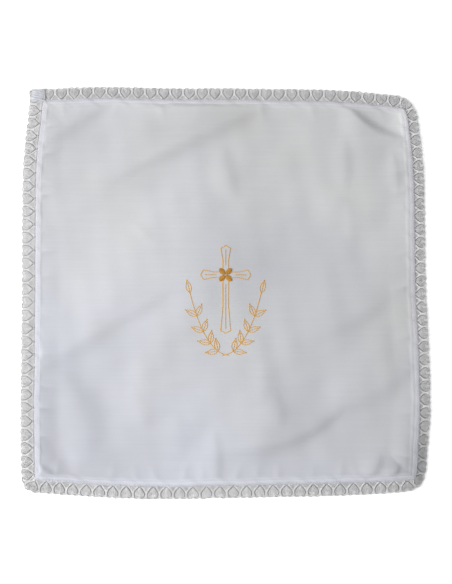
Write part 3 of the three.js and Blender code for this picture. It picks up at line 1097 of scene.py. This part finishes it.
def unit(vectors):
    return vectors / np.linalg.norm(vectors, axis=-1, keepdims=True)


def beside_gap(distance, first, z):
    """The right side of the gap's line moved outwards, as half-width, depth and z, from a row on."""
    line = smooth_line([(half, depth) for depth, half in GAP_LINE], 2)
    ahead = unit(np.gradient(line, axis=0))
    moved = line + distance * np.column_stack([ahead[:, 1], -ahead[:, 0]])
    return np.column_stack([moved, np.full(len(moved), z)])[2 * first:]


def both_sides(rows):
    """A line given as half-width, depth and z, on the right of the repeat and on its left."""
    return [[at_depth(side * half, depth, z) for half, depth, z in rows] for side in (1, -1)]


LEAF_EDGE = beside_gap(-GAP_HALF - LEAF_CORD, 0, LAYER_RISE)
LEG_EDGE = beside_gap(GAP_HALF + 3 * CORD, 5, 0.0)


def fan(cords, line, z):
    """Lines side by side across the middle of the repeat, whose spread changes with depth."""
    return [[at_depth(sideways * share, depth, z) for depth, share in line] for sideways in cords]


def lace_cords():
    """The stout threads of one repeat, and their radii."""
    lines, radii = [], []

    def add(new_lines, radius):
        lines.extend(new_lines)
        radii.extend([radius] * len(new_lines))

    steps = np.linspace(0, LACE_REPEAT, SCALLOP_POINTS)
    dip = SCALLOP_DEPTH * (1 - np.abs(np.sin(2 * math.pi * steps / LACE_REPEAT)))
    add([[(s, LACE_WIDTH - EDGE_CORD - d, 0.0) for s, d in zip(steps, dip)]], EDGE_CORD)
    add(both_sides(beside_gap(GAP_HALF + CORD, 4, 2 * LAYER_RISE)), CORD)
    add(both_sides(LEG_EDGE), CORD)
    for top, waist in POST_CORDS:
        spread = zip((top, waist, waist, top), POST_DEPTHS)
        add(both_sides([(LACE_REPEAT / 2 - aside, depth, LAYER_RISE) for aside, depth in spread]), CORD)
    add(fan(STALK_CORDS, STALK_LINE, 0.0), CORD)
    for inside in HEADING_CORDS:
        add([[(s, -inside, 0.0) for s in np.linspace(0, LACE_REPEAT, 5)]], CORD)
    return lines, radii


def slanted_net(half_width, top, bottom, middle, pitch):
    """Fine threads on both slants that fill a shape whose half-width changes with depth."""
    lines = []
    depths = np.linspace(top, bottom, NET_STEPS)
    for slant in (-1, 1):
        for start in np.arange(-NET_SPREAD, NET_SPREAD, pitch):
            sideways = start + slant * NET_SLANT * (depths - top)
            within = np.flatnonzero(np.abs(sideways) <= half_width(depths))
            if len(within) > NET_SHORTEST:
                first, last = within[[0, -1]]
                lines.append([at_depth(middle + sideways[i], depths[i], NET_CROSSING * slant)
                              for i in (first, (first + last) // 2, last)])
    return lines


def lace_net():
    """The leaf's net, veins and edge, and the net between the legs of each post, with their radii."""
    leaf_half, leaf_depth, _ = LEAF_EDGE[LEAF_SHOULDER:].T
    leg_half, leg_depth, _ = LEG_EDGE.T

    def in_leaf(depth):
        return np.interp(depth, leaf_depth, leaf_half)

    def between_legs(depth):
        return LACE_REPEAT / 2 - np.interp(depth, leg_depth, leg_half)

    lines = slanted_net(in_leaf, leaf_depth[0] - LEAF_NOTCH, leaf_depth[-1], 0.0, NET_PITCH)
    lines += slanted_net(between_legs, leg_depth[0], LACE_WIDTH + LACE_LAP - 1,
                         LACE_REPEAT / 2, LEG_NET_PITCH)
    lines += fan(VEIN_CORDS, VEIN_LINE, 3 * LAYER_RISE)
    outline = both_sides(LEAF_EDGE)
    return lines + outline, [NET_THREAD] * len(lines) + [LEAF_CORD] * len(outline)


repeat_cords = guide_curve("lace_repeat_cords", *lace_cords())
repeat_net = guide_curve("lace_repeat_net", *lace_net())
print("one repeat", len(repeat_cords.data.splines), "cords,", len(repeat_net.data.splines), "net threads")

# %% The path of the lace
LACE_MIDDLE = 5.0
LACE_WANDER = 1.6
LACE_EDGE_REST = 0.50
LACE_LAP_RISE = 0.75
LACE_LAP_LENGTH = 13.0
RIM_STEP = 1.5
LAP_POINTS = 7
FLUTTER = 0.35
FLUTTER_LENGTHS = (17.0, 41.0)
RIM_CORNERS = np.array([(-1, 1), (1, 1), (1, -1), (-1, -1), (-1, 1)])


def around_panel(counts):
    """Points of the panel's edge, clockwise from the top left, with a count for each side."""
    places = []
    for start, finish, count in zip(RIM_CORNERS[:-1], RIM_CORNERS[1:], counts):
        places.append(start + np.linspace(0, 1, count)[:-1, None] * (finish - start))
    return np.concatenate([*places, RIM_CORNERS[-1:]]).T


def rim_line():
    """The hem's outer edge, clockwise from the top left corner, with the height of its underside."""
    across, up = around_panel([int(PANEL_LENGTH / RIM_STEP)] * 4)
    return np.column_stack([*panel_point(across, up), hem_height(across, up)])


def length_along(line):
    """How far along a line each of its points lies."""
    return np.concatenate([[0], np.cumsum(np.linalg.norm(np.diff(line, axis=0), axis=1))])


def outwards_of(line):
    """Unit vectors on the table that point out of a clockwise line, smoothed round corners."""
    ahead = unit(np.gradient(line[:, :2], axis=0))
    return np.column_stack([-ahead[:, 1], ahead[:, 0]])


def lace_path():
    """The middle line of the lace: it starts and ends past the top left corner, where it laps."""
    rim = rim_line()
    middle = rim[:, :2] + LACE_MIDDLE * outwards_of(rim)
    reach = np.linspace(LACE_WIDTH, RIM_STEP, LAP_POINTS)[:, None]
    start = middle[0] - reach * unit(rim[1, :2] - rim[0, :2])
    finish = middle[-1] + reach[::-1] * unit(rim[-1, :2] - rim[-2, :2])
    line = np.concatenate([start, middle, finish])
    length = length_along(line)
    heights = np.pad(rim[:, 2], LAP_POINTS, mode="edge") - CORD
    short, long = (length / wave for wave in FLUTTER_LENGTHS)
    flutter = FLUTTER + FLUTTER * np.sin(short) * np.sin(long + 1)
    from_end = length[-1] - length
    lap = LACE_LAP_RISE * (1 - smoothstep(from_end, LACE_LAP_LENGTH, 2 * LACE_LAP_LENGTH))
    return np.column_stack([line, heights + lap]), LACE_EDGE_REST + flutter + lap, length[-1]


path_points, edge_heights, path_length = lace_path()
repeats = int(round(path_length / LACE_REPEAT))
print("lace path", round(path_length), "mm,", repeats, "repeats")

# %% Lay the lace
# Painted light and shade on the lace: darker at the bottom right and bottom left corners, lighter along the
# bottom, the top and the left, the net more than the cords, and painted light on a strip beside the right
# hem, where the hem shades it
LACE_PAINTED_SPOTS = [
    # place, reach across, reach up, change of brightness of the cords and of the net
    ((178, -140), 20, 56, (-0.12, -0.12)),
    ((176, -180), 14, 14, (-0.10, -0.10)),
    ((-10, -184), 150, 16, (0.02, 0.22)),
    ((0, 186), 160, 16, (0.02, 0.11)),
    ((-182, 0), 16, 200, (-0.06, 0.20)),
    ((-178, -186), 22, 20, (-0.16, -0.24)),
    ((-171, 0), 3, 190, (-0.05, -0.05)),
    ((173, 20), 2.5, 150, (0.2, 0.2)),
]
CORD_LAYER, NET_LAYER = 0, 1
CORD_SIDES, NET_SIDES = 5, 3
HEADING_LIGHT, HEADING_REACH = 0.11, 4.5
EDGE_SHADE, EDGE_SHADE_REACH = 0.20, 2.0


def outside_edge(x, y):
    """How far outside the hem's edge a point of the table lies, in millimetres, between the corners."""
    across, up = np.clip(2 * x / PANEL_WIDTH, -1, 1), np.clip(2 * y / PANEL_LENGTH, -1, 1)
    beside = np.maximum(x - bow["right"](up), -x - bow["left"](up)) - PANEL_WIDTH / 2
    beyond = np.maximum(y - bow["top"](across), -y - bow["bottom"](across)) - PANEL_LENGTH / 2
    return np.maximum(beside, beyond)


def lay_lace(name, repeat, layer, sides, thread):
    piece = grow(name, lace_strip, {
        "Repeat": repeat, "Count": repeats, "Pitch": path_length / repeats * MM,
        "Hem Side": -LACE_MIDDLE * MM, "Outer Side": (LACE_WIDTH - LACE_MIDDLE) * MM,
        "Wander": LACE_WANDER * MM, "Sides": sides, "Material": thread,
    }, guide_curve(name + "_path", [path_points], [edge_heights]))
    x, y, _ = np.array([vertex.co for vertex in piece.data.vertices]).T / MM
    spots = [(*place, changes[layer]) for *place, changes in LACE_PAINTED_SPOTS]
    outside = outside_edge(x, y)
    # painted light on the heading beside the hem, where the hem's edge shades it, and the outer edge made
    # darker
    heading = HEADING_LIGHT * (1 - smoothstep(outside, 0, HEADING_REACH))
    edge = EDGE_SHADE * smoothstep(outside, LACE_WIDTH - EDGE_SHADE_REACH, LACE_WIDTH - EDGE_CORD)
    store_values(piece.data, "shade", 1 + painted_light_and_shade(x, y, spots) + heading - edge)
    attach(piece, "root")
    return piece


for repeat in (repeat_cords, repeat_net):
    for spline in repeat.data.splines:
        for point in spline.points:
            point.co.x *= path_length / repeats / LACE_REPEAT
            point.co.y -= LACE_MIDDLE * MM
cords = lay_lace("lace_cords", repeat_cords, CORD_LAYER, CORD_SIDES, cord_thread)
net = lay_lace("lace_net", repeat_net, NET_LAYER, NET_SIDES, net_thread)
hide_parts("lace_edging")
for repeat in (repeat_cords, repeat_net):
    bpy.data.objects.remove(repeat)

# %% [markdown]
# ## Sewing
# A straight row of machine stitches holds the hem near its inner fold, and a fine zigzag along
# its outer edge catches the lace. The stitches follow lines at set distances inside the edge.

# %% Stitches of the hem and the lace
HEM_STITCH_PITCH, HEM_STITCH_LENGTH = 2.6, 2.3
HEM_STITCH_RISE, HEM_STITCH_WANDER = 0.3, 0.03
HEM_PATH_STEP = 1.0
SEWING_THREAD = 0.18
ZIGZAG_OUTER, ZIGZAG_INNER = 0.1, 2.8
ZIGZAG_PITCH = 2.6
ZIGZAG_LIFT = 0.6


def top_height(across, up):
    """The top of the cloth above the table, in millimetres."""
    return underside_height(across, up) + thickness_at(inside_edge(across, up))


def line_inside(inside, step):
    """A closed line on top of the cloth at a distance inside its edge; inside may vary."""
    across, up = around_panel([int(PANEL_WIDTH / step), int(PANEL_LENGTH / step)] * 2)
    inset = np.resize(np.atleast_1d(inside), len(across))
    across = across * (1 - 2 * inset / PANEL_WIDTH)
    up = up * (1 - 2 * inset / PANEL_LENGTH)
    return np.column_stack([*cloth_point(across, up), top_height(across, up)])


hem_stitches = grow("hem_stitches", stitch_line, {
    "Pitch": HEM_STITCH_PITCH * MM, "Stitch Length": HEM_STITCH_LENGTH * MM,
    "Thread Radius": SEWING_THREAD * MM, "Rise": HEM_STITCH_RISE * MM, "Wander": HEM_STITCH_WANDER,
    "Seed": 3, "Sides": 5, "Material": white_thread,
}, guide_curve("hem_stitch_path", [line_inside(HEM_STITCH_INSIDE, HEM_PATH_STEP)], [1.0]))
zigzag = np.array([0, 1, 2, 3, 2, 1]) / 3
zigzag_inside = ZIGZAG_OUTER + zigzag * (ZIGZAG_INNER - ZIGZAG_OUTER)
zigzag_line = line_inside(zigzag_inside, ZIGZAG_PITCH / len(zigzag))
zigzag_line[:, 2] += SEWING_THREAD * ZIGZAG_LIFT
lace_stitches = grow("lace_stitches", spun_threads, {"Sides": 4, "Material": white_thread},
                     guide_curve("lace_stitch_path", [zigzag_line], [SEWING_THREAD]))

# %% The oversewn join of the lace
JOIN_PITCH = 0.6
JOIN_ROWS = (-1.4, LACE_WIDTH - 0.8)
JOIN_ENDS = (-LACE_WIDTH + 1.6, 3.2)
JOIN_THREAD = 0.25
JOIN_ABOVE, JOIN_ARCH = 2.4, 0.9
JOIN_SWAY = 0.25


def join_threads():
    """Threads laid side by side over the lapped ends of the lace, at the top left corner."""
    corner_x, corner_y = panel_point(*TOP_LEFT)
    share = np.linspace(-1, 1, 6)
    threads = []
    for i, north in enumerate(np.arange(*JOIN_ROWS, JOIN_PITCH)):
        slack = 0.9 * math.sin(2.1 * i) + 0.6 * math.sin(0.9 * i + 1)
        east = np.linspace(JOIN_ENDS[0] + slack, JOIN_ENDS[1] + slack / 2, len(share))
        sway = JOIN_SWAY * np.sin(east * 0.6 + 1.7 * i)
        arch = JOIN_ABOVE - JOIN_ARCH * share ** 4
        threads.append(np.column_stack([corner_x + east, corner_y + north + sway, arch]))
    return threads


join = join_threads()
join_stitches = grow("join_stitches", spun_threads, {"Sides": 5, "Material": white_thread},
                     guide_curve("join_path", join, [JOIN_THREAD] * len(join)))
for piece in (hem_stitches, lace_stitches, join_stitches):
    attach(piece, "root")

# %% [markdown]
# ## Embroidery
# A slender cross stands between two leafy sprigs, worked as thin gold lines in short running
# stitches: its outline, the middle of each arm, and the edges and veins of the leaves. A small
# flower in raised satin stitch covers the crossing. The lines are drawn flat in millimetres from
# the motif's centre and then laid on the folds of the cloth, where a tree sews along them.

# %% Lay lines on the cloth
MOTIF_CENTRE = (1.0, 12.0)
MOTIF_STEP = 1.2


def on_cloth(points, step=MOTIF_STEP):
    """A line of the motif laid on the cloth, with points close enough to follow its folds."""
    points = np.asarray(points, float) + MOTIF_CENTRE
    length = length_along(points)
    places = np.union1d(length, np.arange(0, length[-1], step))
    points = np.column_stack([np.interp(places, length, column) for column in points.T])
    height = top_height(2 * points[:, 0] / PANEL_WIDTH, 2 * points[:, 1] / PANEL_LENGTH)
    return np.column_stack([points, height])


def turned(along, across, angle):
    """Points given along and across a direction, turned to an angle."""
    c, s = math.cos(angle), math.sin(angle)
    return np.column_stack([c * along - s * across, s * along + c * across])


print("motif centre", MOTIF_CENTRE, "mm")


# %% The cross
CROSS_ARMS = [((0, 1), 24.0), ((1, 0), 20.0), ((0, -1), 50.0), ((-1, 0), 20.0)]
CROSS_WAIST, CROSS_FLARE, CROSS_POINT = 2.6, 4.4, 2.4
FLARE_STARTS, FLARE_HALF = 0.55, 0.95 * CROSS_WAIST
MIDDLE_STARTS, MIDDLE_STOPS_SHORT = 9.5, 2.5


def cross_lines():
    """A Latin cross whose arms widen to softly pointed ends, and a line down the middle of each."""
    outline, middles = [], []
    for (dx, dy), length in CROSS_ARMS:
        side = np.array([-dy, dx])
        out = np.array([dx, dy])
        outline += [
            CROSS_WAIST * (side + out),
            FLARE_STARTS * length * out + FLARE_HALF * side,
            length * out + CROSS_FLARE * side,
            (length + CROSS_POINT) * out,
            length * out - CROSS_FLARE * side,
            FLARE_STARTS * length * out - FLARE_HALF * side,
        ]
        middles.append([MIDDLE_STARTS * out, (length - MIDDLE_STOPS_SHORT) * out])
    return [np.array([*outline, outline[0]]), *middles]


cross = cross_lines()
print("cross", len(cross), "lines")


# %% The sprigs
STEM_ACROSS, STEM_UP = (-2, 42, -8), (-72, 6, 50)
STEM_POINTS = 33
LEAF_STATIONS = (7, 13, 19, 25)
LEAF_LENGTH, LEAF_WIDTH = 11.0, 4.6
LEAF_TURN = 0.75
LEAF_BROADEST = 0.85
LEAF_POINTS, VEIN_POINTS = 9, slice(1, 7)


def leaf(base, angle):
    """The two edges of a pointed leaf, each from its base to its tip, and its short vein."""
    share = np.linspace(0, 1, LEAF_POINTS)
    along = share * LEAF_LENGTH
    half = LEAF_WIDTH / 2 * np.sin(math.pi * share ** LEAF_BROADEST)
    vein = along[VEIN_POINTS]
    return [base + turned(along, half, angle), base + turned(along, -half, angle),
            base + turned(vein, np.zeros_like(vein), angle)]


def sprig(side):
    """A curved stem with pairs of leaves, rising on one side of the cross."""
    t = np.linspace(0, 1, STEM_POINTS)
    across, up = (sum(part * t ** power for power, part in enumerate(parts))
                  for parts in (STEM_ACROSS, STEM_UP))
    stem = np.column_stack([side * across, up])
    slope = np.gradient(stem, axis=0)
    angles = np.arctan2(slope[:, 1], slope[:, 0])
    lines = [stem]
    for i in LEAF_STATIONS:
        for turn in (-LEAF_TURN, LEAF_TURN):
            lines += leaf(stem[i], angles[i] + turn)
    return lines + leaf(stem[-1], angles[-1])


sprigs = [*sprig(-1), *sprig(1)]
print("sprigs", len(sprigs), "lines")


# %% Sew the gold lines
GOLD_PITCH, GOLD_STITCH = 1.9, 2.2
GOLD_THREAD, GOLD_RISE = 0.34, 0.5
GOLD_WANDER = 0.06
GOLD_SIDES = 6

motif_lines = [on_cloth(line) for line in [*cross, *sprigs]]
outlines = grow("gold_outlines", stitch_line, {
    "Pitch": GOLD_PITCH * MM, "Stitch Length": GOLD_STITCH * MM, "Thread Radius": GOLD_THREAD * MM,
    "Rise": GOLD_RISE * MM, "Wander": GOLD_WANDER, "Seed": 11, "Sides": GOLD_SIDES,
    "Material": gold_thread,
}, guide_curve("gold_path", motif_lines, [1.0] * len(motif_lines)))

# %% The satin flower
PETALS = 4
PETAL_STARTS, PETAL_STOPS = 1.0, 7.6
PETAL_BASE, PETAL_LENGTH, PETAL_HALF = 0.6, 7.4, 2.3
PETAL_FULLNESS = 0.7
SATIN_PITCH = 0.34
SATIN_THREAD = 0.2
SATIN_ARCH = [(-1.0, 0.1), (-0.6, 0.45), (0.0, 0.6), (0.6, 0.45), (1.0, 0.1)]


def satin_petal(angle):
    """Threads laid side by side across a petal, each arched above the cloth."""
    across, arch = np.array(SATIN_ARCH).T
    threads = []
    for along in np.arange(PETAL_STARTS, PETAL_STOPS, SATIN_PITCH):
        half = PETAL_HALF * math.sin(math.pi * (along - PETAL_BASE) / PETAL_LENGTH) ** PETAL_FULLNESS
        thread = on_cloth(turned(along, across * half, angle), PETAL_LENGTH)
        thread[:, 2] += arch
        threads.append(thread)
    return threads


petal_angles = math.pi / PETALS + np.arange(PETALS) * 2 * math.pi / PETALS
petal_threads = [thread for angle in petal_angles for thread in satin_petal(angle)]
satin = grow("satin_flower", spun_threads, {"Sides": GOLD_SIDES, "Material": deep_gold_thread},
             guide_curve("satin_path", petal_threads, [SATIN_THREAD] * len(petal_threads)))
for piece in (outlines, satin):
    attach(piece, "root")
